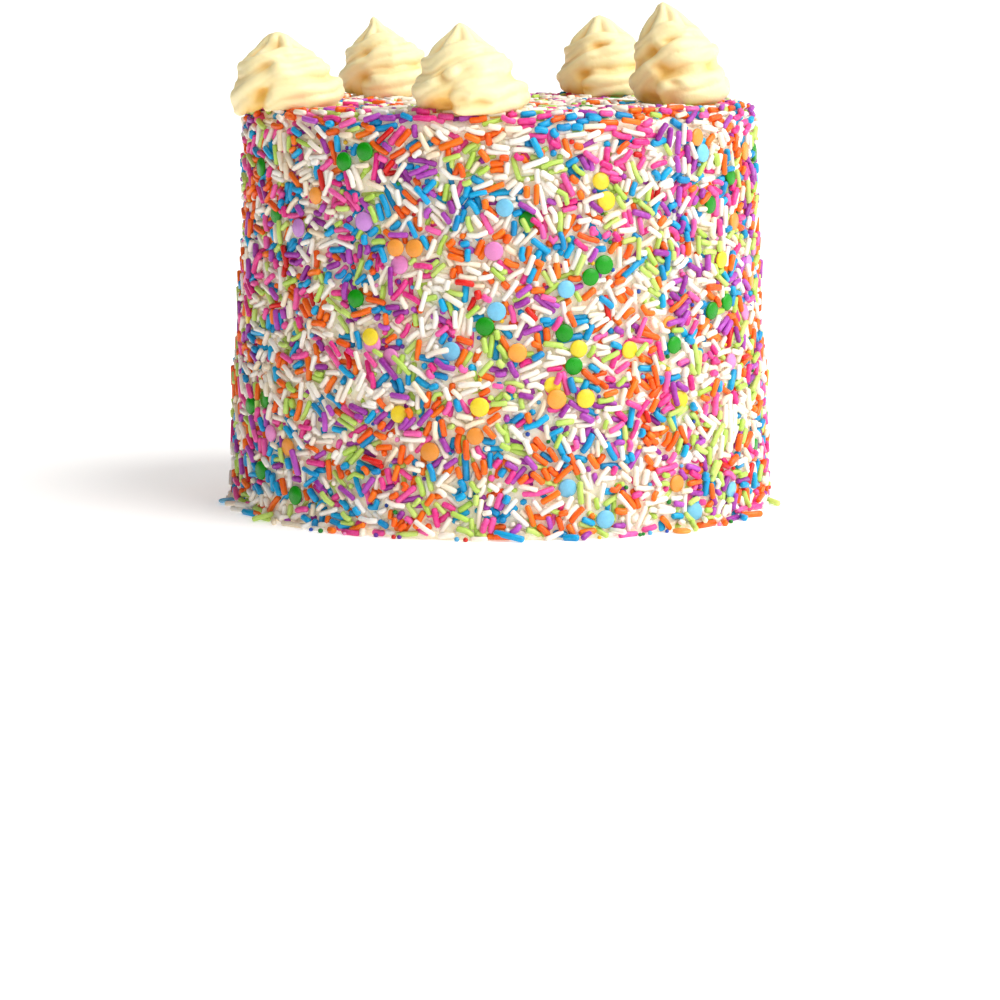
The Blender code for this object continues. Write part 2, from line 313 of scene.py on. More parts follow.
swirls = {
    "swirl_left": dict(
        place=(-61.7, -25.4), radius=16.7, height=21.6, lean=(-3.0, 0.0), fold=238.0,
        fullness=2.3, roundness=0.97, droop=3.2, blunt=11.8,
        dents=((246.0, 0.84, 1.6), (246.0, 0.52, 2.2), (238.0, 0.25, 2.4)),
    ),
    "swirl_back_left": dict(
        place=(-34.3, 42.7), radius=15.5, height=24.9, lean=(-4.5, 0.5), fold=226.0,
        fullness=2.5, roundness=1.26, droop=0.0, blunt=5.7,
        dents=((238.0, 0.56, 1.8), (243.0, 0.24, 2.2)),
    ),
    "swirl_front": dict(
        place=(-8.1, -60.5), radius=17.1, height=25.0, lean=(-3.5, 0.0), fold=240.0,
        fullness=1.62, roundness=0.83, droop=1.8, blunt=7.0,
        dents=(
            (236.0, 0.41, 2.6), (264.0, 0.52, 1.2), (238.0, 0.1, 2.8), (262.0, 0.19, 1.6),
            (282.0, 0.17, 1.4),
        ),
    ),
    "swirl_back_right": dict(
        place=(33.0, 50.9), radius=15.6, height=25.2, lean=(-1.3, 0.5), fold=228.0,
        fullness=2.1, roundness=0.76, droop=0.0, blunt=10.5,
        dents=((257.0, 0.63, 1.8), (237.0, 0.29, 2.4), (246.0, 0.12, 1.8)),
    ),
    "swirl_right": dict(
        place=(53.1, -18.3), radius=14.8, height=30.5, lean=(-5.4, 0.0), fold=226.0,
        fullness=2.6, roundness=0.98, droop=0.6, blunt=8.5,
        dents=(
            (225.0, 0.52, 2.4), (244.0, 0.37, 2.6), (258.0, 0.22, 1.8), (221.0, 0.08, 2.4),
            (253.0, 0.06, 1.8),
        ),
    ),
}
rope = {
    "points": 6,  # of the star the cream is piped through
    "grooves": 0.2,  # depth of the star's valleys, as a share of its radius
    "laps": (0.0, 1.0, 2.0, 2.35),
    "levels": (0.18, 0.48, 0.70, 0.78),  # of the rope's middle at those laps, as shares of the height
    "thickness": (0.225, 0.2, 0.15, 0.04),  # half of it at those laps, as shares of the height
    "width": 1.05,  # against its thickness
    "climb": 0.24,  # part of a lap in which it climbs onto the one before
    "drift": 0.2,  # share of the climb that is spread over the whole lap
    "twist": 0.4,  # turns of the star in one lap
    "roundStart": 0.07,  # part of a lap
    "sides": 72,
    "stepsPerLap": 84,
    "voxel": 0.45,
    "waves": 5,  # in how thick it is
    "waveTurns": (0.6, 3.4),  # in one lap
    "waveDepth": (0.02, 0.055),
    "paintedGlow": 0.09,  # painted glow: the cream gives off light of its own into its shaded side, standing in for light that soft cream passes on
}
peak = {
    "leanCurve": 1.6,  # how late on its way up a swirl starts to lean
    "ridges": 6,
    "turned": 0.11,  # of a turn, which sets a valley just left of the tip
    "foot": 0.84,  # how much narrower it starts, so that the swirl is rounded below
    "lower": 0.9,  # how far it fills the swirl where the rope goes round it
    "upper": 1.02,
    "from": 0.5,  # share of the height at which it begins to show
    "grooves": 0.34,
    "twist": 0.06,  # turns of its ridges
    "rings": 30,
}


widestAt = 0.16  # share of the height
footWidth = 0.90  # of a swirl, as a share of its radius


def swirlWidth(sizes, share):
    if share < widestAt:
        return footWidth + (1.0 - footWidth) * math.sin(math.pi / 2 * share / widestAt)
    narrowing = (1.0 - share ** sizes["fullness"]) / (1.0 - widestAt ** sizes["fullness"])
    return max(0.0, narrowing) ** sizes["roundness"]


def swirlAxis(sizes, share):
    return Vector((
        sizes["place"][0] + sizes["lean"][0] * share ** peak["leanCurve"],
        sizes["place"][1] + sizes["lean"][1] * share ** peak["leanCurve"],
        cake["height"] + sizes["height"] * share,
    ))


def ease(value):
    value = min(1.0, max(0.0, value))
    return value * value * (3.0 - 2.0 * value)


def ropeLevel(lap):
    # each lap lies nearly level, then climbs onto the one before where that began
    turned = lap + rope["climb"] / 2
    whole = math.floor(turned)
    climbed = whole - 1 + ease((turned - whole) / rope["climb"])
    climbed = max(0.0, climbed) * (1.0 - rope["drift"]) + lap * rope["drift"]
    return float(np.interp(climbed, rope["laps"], rope["levels"]))


def ropeRings(sizes, seed):
    # the star, carried round and up the swirl
    chance = random.Random(seed)
    waves = []
    for _ in range(rope["waves"]):
        often = chance.uniform(*rope["waveTurns"])
        start = chance.uniform(0.0, math.tau)
        waves.append((often, start, chance.uniform(*rope["waveDepth"])))
    laps = rope["laps"][-1]
    steps = int(laps * rope["stepsPerLap"])
    rings = []
    for k in range(steps + 1):
        lap = laps * k / steps
        share = ropeLevel(lap)
        thick = sizes["height"] * float(np.interp(lap, rope["laps"], rope["thickness"]))
        thick *= 1.0 + sum(a * math.sin(f * math.tau * lap + p) for f, p, a in waves)
        wide = thick * rope["width"]
        spread = max(0.0, sizes["radius"] * swirlWidth(sizes, share) - 0.95 * wide)
        begun = min(1.0, lap / rope["roundStart"])
        shrink = max(0.12, math.sqrt(1.0 - (1.0 - begun) ** 2))
        angle = math.radians(sizes["fold"]) + math.tau * lap
        out = Vector((math.cos(angle), math.sin(angle), 0.0))
        up = Vector((0.0, 0.0, 1.0))
        middle = swirlAxis(sizes, share) + out * spread
        ring = []
        for i in range(rope["sides"]):
            turn = math.tau * i / rope["sides"]
            lobe = abs(math.cos(rope["points"] / 2 * (turn - math.tau * rope["twist"] * lap)))
            reach = shrink * (1.0 - rope["grooves"] * (1.0 - lobe ** 0.7))
            ring.append(middle + (out * math.cos(turn) * wide + up * math.sin(turn) * thick) * reach)
        rings.append(ring)
    return rings


def peakRings(sizes):
    # the cream inside the laps, which comes out above them and is pulled off to a point
    rings = []
    for k in range(peak["rings"] + 1):
        share = 0.05 + 0.95 * k / peak["rings"]
        shown = ease((share - peak["from"]) / 0.25)
        reach = sizes["radius"] * swirlWidth(sizes, share)
        reach *= peak["lower"] + (peak["upper"] - peak["lower"]) * shown
        reach *= peak["foot"] + (1.0 - peak["foot"]) * ease(share / 0.2)
        grooves = peak["grooves"] * (0.35 + 0.65 * shown) * min(1.0, (1.0 - share) / 0.06)
        reach = max(reach, sizes["blunt"] * math.sqrt(1.0 - share ** 2) * shown)
        ring = []
        for i in range(rope["sides"]):
            turn = math.tau * i / rope["sides"]
            twisted = turn - math.tau * (peak["turned"] + peak["twist"] * share)
            lobe = abs(math.cos(peak["ridges"] / 2 * twisted))
            out = max(0.3, reach * (1.0 - grooves * (1.0 - lobe ** 0.8)))
            ring.append(swirlAxis(sizes, share) + Vector((math.cos(turn), math.sin(turn), 0.0)) * out)
        rings.append(ring)
    return rings


def creamMaterial():
    material, tree, shader = newMaterial("buttercream")
    fold = addNode(tree, "ShaderNodeAttribute", (-900, 300), attribute_name="fold")
    soft = mottle(tree, (-900, 50), 0.006, 2.0)
    colour = colourMix(tree, (-600, 200), remap(tree, (-750, 50), soft, 0.3, 0.7, 0.0, 0.35),
                       linear("FBEAB8"), linear("F8E1A2"))
    # painted shade: golden tan mixed in by the fold attribute, strongest deep in the folds where shade
    # falls
    colour = colourMix(tree, (-400, 250), fold.outputs["Fac"], colour, linear("EDBF62"))
    tree.links.new(colour, shader.inputs["Base Color"])
    # painted glow: the cream's colour is given off as light, lifting its shaded side
    tree.links.new(colour, shader.inputs["Emission Color"])
    shader.inputs["Emission Strength"].default_value = rope["paintedGlow"]
    fine = mottle(tree, (-700, -250), 0.0012, 3.0)
    tree.links.new(remap(tree, (-450, -50), fine, 0.3, 0.7, 0.36, 0.52), shader.inputs["Roughness"])
    addBump(tree, (-250, -250), shader, fine, 0.0004, 0.35)
    shader.inputs["Subsurface Weight"].default_value = 0.4
    shader.inputs["Subsurface Radius"].default_value = (1.0, 0.82, 0.5)
    shader.inputs["Subsurface Scale"].default_value = 0.002
    return material


dent = {"width": 2.8, "height": 1.7}


def swirlPlaces(obj, sizes):
    # points in millimetres, their share of the swirl's height and how they lie round its axis
    mesh = obj.data
    flat = np.empty(len(mesh.vertices) * 3, np.float32)
    mesh.vertices.foreach_get("co", flat)
    places = flat.reshape(-1, 3) / mm
    share = np.clip((places[:, 2] - cake["height"]) / sizes["height"], 0.0, 1.0)
    axis = np.array(sizes["place"]) + np.array(sizes["lean"]) * (share ** peak["leanCurve"])[:, None]
    return places, share, places[:, :2] - axis


def pressDents(obj, sizes):
    # the pits that the folding cream leaves between its laps
    places, share, offset = swirlPlaces(obj, sizes)
    reach = np.linalg.norm(offset, axis=1)
    turn = np.degrees(np.arctan2(offset[:, 1], offset[:, 0]))
    inward = np.zeros(len(places))
    for angle, level, deep in sizes["dents"]:
        around = np.radians((turn - angle + 180.0) % 360.0 - 180.0) * reach
        rise = (share - level) * sizes["height"]
        inward += deep * np.exp(-(around / dent["width"]) ** 2 - (rise / dent["height"]) ** 2)
    places[:, :2] -= offset * np.minimum(0.45, inward / np.maximum(reach, 1.0))[:, None]
    obj.data.vertices.foreach_set("co", (places * mm).astype(np.float32).ravel())


def paintFoldShade(obj, sizes):
    # how deep each point lies inside the swirl's outline, for the painted shade: a golden tan put into its
    # folds and hollows, where shade falls
    _, share, offset = swirlPlaces(obj, sizes)
    reach = np.linalg.norm(offset, axis=1)
    table = np.linspace(0.0, 1.0, 41)
    outline = sizes["radius"] * np.interp(share, table, [swirlWidth(sizes, t) for t in table])
    shadeDepth = np.clip((outline - reach - 0.5) / 2.5, 0.0, 1.0)
    obj.data.attributes.new("fold", "FLOAT", "POINT").data.foreach_set("value", shadeDepth.astype(np.float32))


softness = {
    "waves": 12,
    "waveLengths": (6.0, 15.0),
    "unevenness": 0.3,
    "droopFrom": -0.6,  # past the upright part of the rim
    "droopWidth": 5.6,
    "droopHeight": 11.0,
}


def settle(obj, sizes, seed):
    # soft cream: slightly lumpy, and sagging where it hangs over the rim of the cake
    mesh = obj.data
    places, _, _ = swirlPlaces(obj, sizes)
    chance = np.random.default_rng(seed)
    shift = np.zeros_like(places)
    for _ in range(softness["waves"]):
        direction = chance.normal(size=3)
        direction *= math.tau / (np.linalg.norm(direction) * chance.uniform(*softness["waveLengths"]))
        wave = np.sin(places @ direction + chance.uniform(0.0, math.tau))
        shift += wave[:, None] * chance.normal(size=3) * softness["unevenness"] / 3.0
    low = np.clip((places[:, 2] - cake["height"]) / 3.0, 0.0, 1.0)[:, None]
    places += shift * low
    over = np.linalg.norm(places[:, :2], axis=1) - cake["topRadius"] - softness["droopFrom"]
    over = np.clip(over / softness["droopWidth"], 0.0, 1.0)
    height = np.clip(1.0 - (places[:, 2] - cake["height"] - 2.0) / softness["droopHeight"], 0.0, 1.0)
    places[:, 2] -= sizes["droop"] * over * over * (3.0 - 2.0 * over) * height
    mesh.vertices.foreach_set("co", (places * mm).astype(np.float32).ravel())
    mesh.update()


def buildSwirl(name, sizes, seed, material):
    bm = bmesh.new()
    for rings in (ropeRings(sizes, seed), peakRings(sizes)):
        first, last = extrudeRings(bm, [[point * mm for point in ring] for ring in rings])
        bm.faces.new(list(reversed(first)))
        bm.faces.new(last)
    obj = bmeshObject(name + "_cream", bm, material)
    join = obj.modifiers.new("join the laps", "REMESH")
    join.mode = "VOXEL"
    join.voxel_size = rope["voxel"] * mm
    soften = obj.modifiers.new("soften", "SMOOTH")
    soften.factor = 0.5
    soften.iterations = 2
    applyModifiers(obj)
    obj.data.shade_smooth()
    pressDents(obj, sizes)
    paintFoldShade(obj, sizes)
    settle(obj, sizes, seed)
    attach(obj, "root")
    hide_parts(name)
    return obj


cream = creamMaterial()
for number, (name, sizes) in enumerate(swirls.items()):
    made = buildSwirl(name, sizes, 30 + number, cream)
    print(name + ":", len(made.data.polygons), "faces")


# Sprinkles, in millimetres. Each is laid on a height map of the frosting and rests on those below it.

sprinkles = {
    "seed": 11,
    "length": (5.9, 1.4),  # middle length of a rod and its spread
    "shortest": 2.8,
    "longest": 10.4,
    "sink": 1.5,  # how deep a rod could be pressed into the soft frosting
    "lift": (0.4, 1.3),  # how far out of that it stays where it touches no other
    "press": 0.15,  # how far sprinkles press into each other
    "tilt": 0.2,  # spread of the slopes of rods in the frosting
    "steepest": 0.75,
    "highest": 3.0,  # above the frosting
    "choices": 8,
    "alike": 0.4,  # share of rods that lie beside one of their own colour
    "beside": 2.0,
    "paler": 1.9,  # how much more white and ivory there is on the top
}
rodColours = {
    # share, thickness, light and deep colour
    "white": (0.30, 1.65, "FFFCF4", "FBEEDC"),
    "ivory": (0.095, 1.7, "FFF6E2", "F8E4C4"),
    "orange": (0.165, 1.85, "FF7C0A", "F45800"),
    "blue": (0.12, 2.0, "00B0E8", "008AC8"),
    "pink": (0.125, 1.8, "FA68B4", "E62484"),
    "lime": (0.14, 1.65, "CEE87C", "B2D852"),
    "purple": (0.095, 1.75, "BE52C6", "922494"),
    "red": (0.008, 1.65, "E81E14", "CC0E0A"),
}
disc = {
    "radius": 2.65,
    "thickness": 1.1,
    "tilt": 0.17,
    "colours": [
        "0C9E08", "0C9E08", "FFE335", "FFE335", "FFA540", "FFA540", "7CCDF2", "D994E6", "F795D6",
    ],
}
ball = {
    "radius": 0.7,
    "colours": ["D9261B", "2A52B8", "17862B", "5BB8EA", "F5C62C", "F28CC4", "6A2FA0"],
}

cell = 0.25  # of the height maps
wallGirth = 77.0  # radius at which the wall is unrolled
ringStart = 80.0  # radius at which the ring of sprinkles round the foot begins
draw = np.random.default_rng(sprinkles["seed"])
alongRod = np.linspace(-0.5, 0.5, 13)
acrossRod = np.array([-0.85, -0.45, 0.0, 0.45, 0.85])
roundRod = np.sqrt(1.0 - acrossRod ** 2)
roundEnd = 0.55  # length of a rod's rounded end, as a share of its radius
shares = np.array([values[0] for values in rodColours.values()])
shares /= shares.sum()
rods = {colour: [] for colour in rodColours}
discs = []
balls = []


def newPatch(kind, start, size, floor):
    # height maps of a part of the cake, with the colour and direction of the rod on top at each cell
    columns, rows = (int(round(side / cell)) for side in size)
    return {
        "kind": kind,
        "start": start,
        "height": np.full((rows, columns), floor),
        "colour": np.full((rows, columns), -1),
        "angle": np.zeros((rows, columns)),
        "bare": 0.06,
    }


def cellsAt(patch, u, v):
    rows, columns = patch["height"].shape
    column = np.floor((u - patch["start"][0]) / cell).astype(int) % columns
    row = np.clip(np.floor((v - patch["start"][1]) / cell).astype(int), 0, rows - 1)
    return row, column


def cellsAround(patch, u, v, reach):
    # the block of cells near a point, and how far each lies from it
    rows, columns = patch["height"].shape
    startU, startV = patch["start"]
    column = np.arange(math.floor((u - reach - startU) / cell), math.floor((u + reach - startU) / cell) + 1)
    row = np.arange(math.floor((v - reach - startV) / cell), math.floor((v + reach - startV) / cell) + 1)
    row = row[(row >= 0) & (row < rows)]
    du = (column + 0.5) * cell + startU - u
    dv = (row + 0.5) * cell + startV - v
    return np.ix_(row, column % columns), du[None, :], dv[:, None]


def patchFrame(kind, u, v):
    # place, outward direction and the two directions along a patch
    none = np.zeros_like(u)
    up = np.stack([none, none, none + 1.0], -1)
    if kind == "top":
        place = np.stack([u, v, none + topLevel], -1)
        place[..., 2] += unevenness(place)
        return place, up, np.stack([none + 1.0, none, none], -1), np.stack([none, none + 1.0, none], -1)
    if kind == "wall":
        angle = u / wallGirth
        place, normal, onward = skin(angle, v)
        return place, normal, np.stack([-np.sin(angle), np.cos(angle), none], -1), onward
    angle = -u / ringStart
    out = np.stack([np.cos(angle), np.sin(angle), none], -1)
    return out * (ringStart + v)[..., None], up, np.stack([np.sin(angle), -np.cos(angle), none], -1), out


def frameAt(kind, u, v):
    # the same for one point
    return [part[0] for part in patchFrame(kind, np.array([u]), np.array([v]))]


def restLine(patch, u, v, angle, length, radius, bend):
    # how a rod would lie at each of some places: height of its middle, slope, and share that covers others
    cos, sin = np.cos(angle)[:, None, None], np.sin(angle)[:, None, None]
    x = alongRod * (length - 0.6 * radius)
    sideways = (acrossRod * radius)[None, :] + (bend * (1.0 / 3.0 - (2.0 * alongRod) ** 2))[:, None]
    row, column = cellsAt(patch, u[:, None, None] + x[:, None] * cos - sideways * sin,
                          v[:, None, None] + x[:, None] * sin + sideways * cos)
    below = patch["height"][row, column]
    need = (below + roundRod * radius).max(axis=2)
    span = x[None, 6:] - x[:7, None] + 1e-6
    crossing = (need[:, :7, None] * x[6:] - need[:, None, 6:] * x[:7, None]) / span
    first, second = np.divmod(crossing.reshape(len(u), -1).argmax(axis=1), 7)
    number = np.arange(len(u))
    slope = (need[number, 6 + second] - need[number, first]) / span[first, second]
    slope = np.clip(slope, -sprinkles["steepest"], sprinkles["steepest"])
    middle = (need - slope[:, None] * x).max(axis=1)
    return middle, slope, (below > patch["bare"]).mean(axis=(1, 2))


def stampRod(patch, colour, u, v, angle, length, radius, bend, middle, slope):
    block, du, dv = cellsAround(patch, u, v, length / 2 + radius)
    x = du * math.cos(angle) + dv * math.sin(angle)
    y = dv * math.cos(angle) - du * math.sin(angle) - bend * (1.0 / 3.0 - (2.0 * x / length) ** 2)
    past = np.maximum(0.0, np.abs(x) - length / 2 + roundEnd * radius) / roundEnd
    room = radius ** 2 - past ** 2 - y ** 2
    height = np.where(room > 0.0, middle + slope * x + np.sqrt(np.maximum(0.0, room)), -9.0)
    above = height > patch["height"][block]
    patch["height"][block] = np.where(above, height, patch["height"][block])
    patch["colour"][block] = np.where(above, list(rodColours).index(colour), patch["colour"][block])
    patch["angle"][block] = np.where(above, angle, patch["angle"][block])


def rodFits(kind, u, v, angle, length, radius):
    # keeps rods off the floor, from sticking out past the rim and from under the swirls
    rise = np.abs(np.sin(angle)) * length / 2
    if kind == "wall":
        fits = v - rise - radius * np.abs(np.cos(angle)) > 0.1
        fits &= np.where(v < wallEnd, v + rise < wallEnd + 1.8, rise < 1.7)
        return fits & (v < rimEnd + 0.3)
    if kind == "top":
        outward = np.abs(np.cos(angle - np.arctan2(v, u))) * length / 2
        fits = np.hypot(u, v) + outward < rimCentre + 1.8
        for sizes in swirls.values():
            fits &= np.hypot(u - sizes["place"][0], v - sizes["place"][1]) > sizes["radius"] - 4.5
        return fits & (np.hypot(u, v) < rimCentre)
    return (v - rise > -0.7) & (v + rise < 5.6)


def pickRod():
    colour = list(rodColours)[draw.choice(len(rodColours), p=shares)]
    length = draw.normal(*sprinkles["length"]) * (0.6 if draw.random() < 0.14 else 1.0)
    length = min(max(length, sprinkles["shortest"]), sprinkles["longest"])
    radius = rodColours[colour][1] / 2 * draw.uniform(0.9, 1.1)
    bend = draw.normal(0.0, 0.13 if draw.random() < 0.8 else 0.45) * length / 6.6
    return colour, length, radius, bend


def keepRod(kind, colour, u, v, angle, length, radius, bend, middle, slope):
    place, normal, sideways, onward = frameAt(kind, u, v)
    along = sideways * math.cos(angle) + onward * math.sin(angle) + normal * slope
    along /= np.linalg.norm(along)
    side = np.cross(normal, along)
    side /= np.linalg.norm(side)
    rods[colour].append((*(place + normal * middle), *along, *side, length, radius, bend))


def layRods(patch, tries, mostCovered, highest, push, turn=None, inside=None):
    # at each bare spot the lie in which a rod covers others least, if it stays low enough
    kind = patch["kind"]
    rows, columns = patch["height"].shape
    laid = 0
    colour, length, radius, bend = pickRod()
    for spot in draw.integers(0, rows * columns, tries).tolist():
        row, column = divmod(spot, columns)
        if patch["height"][row, column] > patch["bare"]:
            continue
        aimU = patch["start"][0] + (column + 0.5) * cell
        aimV = patch["start"][1] + (row + 0.5) * cell
        if inside and not inside(aimU, aimV):
            continue
        length = max(sprinkles["shortest"], length * 0.985)
        spread = 0.3 if kind == "wall" and aimV > wallEnd - 1.0 else turn
        angle = draw.uniform(0.0, math.pi, sprinkles["choices"])
        if spread:
            angle = draw.normal(0.0, spread, sprinkles["choices"])
        beside = cellsAt(patch, aimU + draw.normal(0.0, sprinkles["beside"]),
                         aimV + draw.normal(0.0, sprinkles["beside"]))
        alike = draw.random() < sprinkles["alike"] and patch["colour"][beside] >= 0
        if alike and not spread:
            angle[::2] = patch["angle"][beside] + draw.normal(0.0, 0.15, len(angle[::2]))
        shift = draw.uniform(-0.45, 0.45, sprinkles["choices"]) * length
        u, v = aimU + shift * np.cos(angle), aimV + shift * np.sin(angle)
        fits = rodFits(kind, u, v, angle, length, radius)
        if not fits.any():
            continue
        u, v, angle = u[fits], v[fits], angle[fits]
        middle, slope, covers = restLine(patch, u, v, angle, length, radius, bend)
        middle = middle - sprinkles["press"] - draw.uniform(0.0, push)
        if kind != "ring":
            free = np.maximum(0.0, 1.0 - covers / 0.25)
            middle = middle + free * draw.uniform(*sprinkles["lift"])
            slope = slope + (0.25 + 0.75 * free) * draw.normal(0.0, sprinkles["tilt"], len(u))
        top = middle + np.abs(slope) * length / 2 + radius
        score = covers + 0.12 * top + draw.uniform(0.0, 0.06, len(u))
        score += 9.0 * (covers > mostCovered) + 9.0 * (top > highest)
        best = int(score.argmin())
        if score[best] > 5.0:
            continue
        lie = (u[best], v[best], angle[best], length, radius, bend, middle[best], slope[best])
        lie = tuple(float(value) for value in lie)
        if alike:
            colour = list(rodColours)[patch["colour"][beside]]
        stampRod(patch, colour, *lie)
        keepRod(kind, colour, *lie)
        colour, length, radius, bend = pickRod()
        laid += 1
    return laid


def stickRods(patch, tries, highest, inside):
    # rods pushed in end first, which show as dots
    for spot in draw.integers(0, patch["height"].size, tries).tolist():
        row, column = divmod(spot, patch["height"].shape[1])
        u = patch["start"][0] + (column + 0.5) * cell
        v = patch["start"][1] + (row + 0.5) * cell
        colour, _, radius, _ = pickRod()
        block, du, dv = cellsAround(patch, u, v, radius)
        if not inside(u, v) or patch["height"][block].max() > highest - 0.9:
            continue
        end = highest - draw.uniform(0.0, 0.8)
        lean = draw.uniform(0.2, 0.75)
        turn = draw.uniform(0.0, math.tau)
        length = draw.uniform(3.4, 4.2)
        place, normal, sideways, onward = frameAt(patch["kind"], u, v)
        across = sideways * math.cos(turn) + onward * math.sin(turn)
        along = normal * math.cos(lean) + across * math.sin(lean)
        side = np.cross(normal, across)
        middle = place + normal * end - along * length / 2
        rods[colour].append((*middle, *along, *side, length, radius, 0.0))
        covered = du ** 2 + dv ** 2 < (radius * 1.1) ** 2
        before = patch["height"][block]
        patch["height"][block] = np.where(covered, np.maximum(before, end), before)


def layDiscs(patch, count, highest, inside):
    step = np.linspace(-1.0, 1.0, 9)
    gridU, gridV = (g.ravel() for g in np.meshgrid(step, step))
    keep = gridU ** 2 + gridV ** 2 <= 1.0
    gridU, gridV = gridU[keep], gridV[keep]
    laid = 0
    for spot in draw.integers(0, patch["height"].size, count * 60).tolist():
        row, column = divmod(spot, patch["height"].shape[1])
        u = patch["start"][0] + (column + 0.5) * cell
        v = patch["start"][1] + (row + 0.5) * cell
        if laid >= count or not inside(u, v):
            continue
        radius = disc["radius"] * draw.uniform(0.93, 1.06)
        du, dv = gridU * radius, gridV * radius
        below = patch["height"][cellsAt(patch, u + du, v + dv)]
        tilts = draw.normal(0.0, disc["tilt"], (14, 2))
        under = (below - tilts[:, :1] * du - tilts[:, 1:] * dv).max(axis=1)
        best = int(under.argmin())
        tiltU, tiltV = tilts[best]
        bottom = under[best] - sprinkles["press"]
        top = bottom + disc["thickness"] + math.hypot(tiltU, tiltV) * radius
        if top > highest:
            continue
        block, farU, farV = cellsAround(patch, u, v, radius)
        height = bottom + disc["thickness"] + tiltU * farU + tiltV * farV
        height = np.where(farU ** 2 + farV ** 2 < radius ** 2, height, -9.0)
        patch["height"][block] = np.maximum(patch["height"][block], height)
        place, normal, sideways, onward = frameAt(patch["kind"], u, v)
        facing = normal - sideways * tiltU - onward * tiltV
        facing /= np.linalg.norm(facing)
        along = np.cross(facing, onward)
        along /= np.linalg.norm(along)
        middle = place + normal * (bottom + disc["thickness"] / 2)
        discs.append((*middle, *along, *np.cross(facing, along), radius, disc["thickness"]))
        laid += 1
    return laid


def layBalls(patch, count, inside):
    laid = 0
    for spot in draw.integers(0, patch["height"].size, count * 40).tolist():
        row, column = divmod(spot, patch["height"].shape[1])
        u = patch["start"][0] + (column + 0.5) * cell
        v = patch["start"][1] + (row + 0.5) * cell
        if laid >= count or patch["height"][row, column] > 0.4 or not inside(u, v):
            continue
        radius = ball["radius"] * draw.uniform(0.8, 1.1)
        block, du, dv = cellsAround(patch, u, v, radius)
        middle = patch["height"][cellsAround(patch, u, v, radius * 0.55)[0]].max() + radius * 0.75
        if middle > 1.3:
            continue
        room = radius ** 2 - du ** 2 - dv ** 2
        height = np.where(room > 0.0, middle + np.sqrt(np.maximum(0.0, room)), -9.0)
        patch["height"][block] = np.maximum(patch["height"][block], height)
        place, normal, _, _ = frameAt(patch["kind"], u, v)
        balls.append((*(place + normal * middle), radius))
        laid += 1
    return laid


def coverage(patch, inside):
    rows, columns = patch["height"].shape
    u = patch["start"][0] + (np.arange(columns) + 0.5) * cell
    v = patch["start"][1] + (np.arange(rows) + 0.5) * cell
    zone = inside(*np.meshgrid(u, v))
    return float((patch["height"] > patch["bare"])[zone].mean())


def carryOver(source, target):
    # stamps the rods that reach over the rim on the map of the top as well
    for colour in rods:
        for rod in rods[colour]:
            x, y, z, alongX, alongY, alongZ = rod[:6]
            length, radius = rod[9:11]
            flat = math.hypot(alongX, alongY)
            if z < topLevel - 2.0 or flat < 0.3:
                continue
            stampRod(target, colour, x, y, math.atan2(alongY, alongX), length * flat, radius, 0.0,
                     z - topLevel, alongZ / flat)


def coverWall():
    patch = newPatch("wall", (0.0, 0.0), (math.tau * wallGirth, rimEnd + 2.0), -sprinkles["sink"])
    def onWall(u, v):
        return (v > 0.3) & (v < rimEnd)

    def low(u, v):
        return (v > 3.0) & (v < wallEnd - 3.0)

    layDiscs(patch, 30, 1.3, low)
    stickRods(patch, 420, 1.6, low)
    layRods(patch, 9000, 0.15, 1.8, 0.3, inside=onWall)
    layDiscs(patch, 50, 2.1, low)
    layRods(patch, 24000, 0.45, 2.2, 0.3, inside=onWall)
    stickRods(patch, 2600, 2.0, low)
    layDiscs(patch, 90, 2.5, low)
    layRods(patch, 60000, 0.8, 2.5, 0.35, inside=onWall)
    layDiscs(patch, 40, 2.8, low)
    layRods(patch, 150000, 0.9, sprinkles["highest"], 0.35, inside=onWall)
    layBalls(patch, 520, low)
    print("wall covered:", round(coverage(patch, onWall), 3))
    return patch


def coverTop(wall):
    # its rods are paler than those of the wall
    shares[:2] *= sprinkles["paler"]
    shares[:] = shares / shares.sum()
    patch = newPatch("top", (-76.0, -76.0), (152.0, 152.0), -sprinkles["sink"])
    def onTop(u, v):
        return np.hypot(u, v) < rimCentre - 0.5

    carryOver(wall, patch)
    stickRods(patch, 120, 1.6, onTop)
    layRods(patch, 3200, 0.15, 1.8, 0.3, inside=onTop)
    layDiscs(patch, 18, 2.1, onTop)
    layRods(patch, 9000, 0.45, 2.2, 0.3, inside=onTop)
    layDiscs(patch, 16, 2.6, onTop)
    layRods(patch, 60000, 0.9, sprinkles["highest"], 0.35, inside=onTop)
    layBalls(patch, 120, onTop)
    print("top covered:", round(coverage(patch, onTop), 3))


def ringFoot():
    # the sprinkles that slid down and lie against the foot, thicker in some places than in others
    patch = newPatch("ring", (0.0, -0.75), (math.tau * ringStart, 8.0), 0.0)
    patch["height"][:3] = 1.6
    phases = draw.uniform(0.0, math.tau, 4)

    def spread(u):
        waves = sum(np.sin(n * u / ringStart + p) for n, p in zip((3, 7, 13, 22), phases))
        return 1.0 + 0.9 * waves / 2.0

    layRods(patch, 5000, 0.3, 2.6, 0.0, turn=0.6, inside=lambda u, v: 0.2 < v < spread(u))
    layRods(patch, 4000, 0.7, 3.6, 0.0, turn=0.8, inside=lambda u, v: -0.2 < v < spread(u) - 0.5)
    layDiscs(patch, 6, 2.6, lambda u, v: 2.6 < v < 3.4)
    layBalls(patch, 40, lambda u, v: 0.8 < v < spread(u) + 1.5)


# Sprinkle meshes

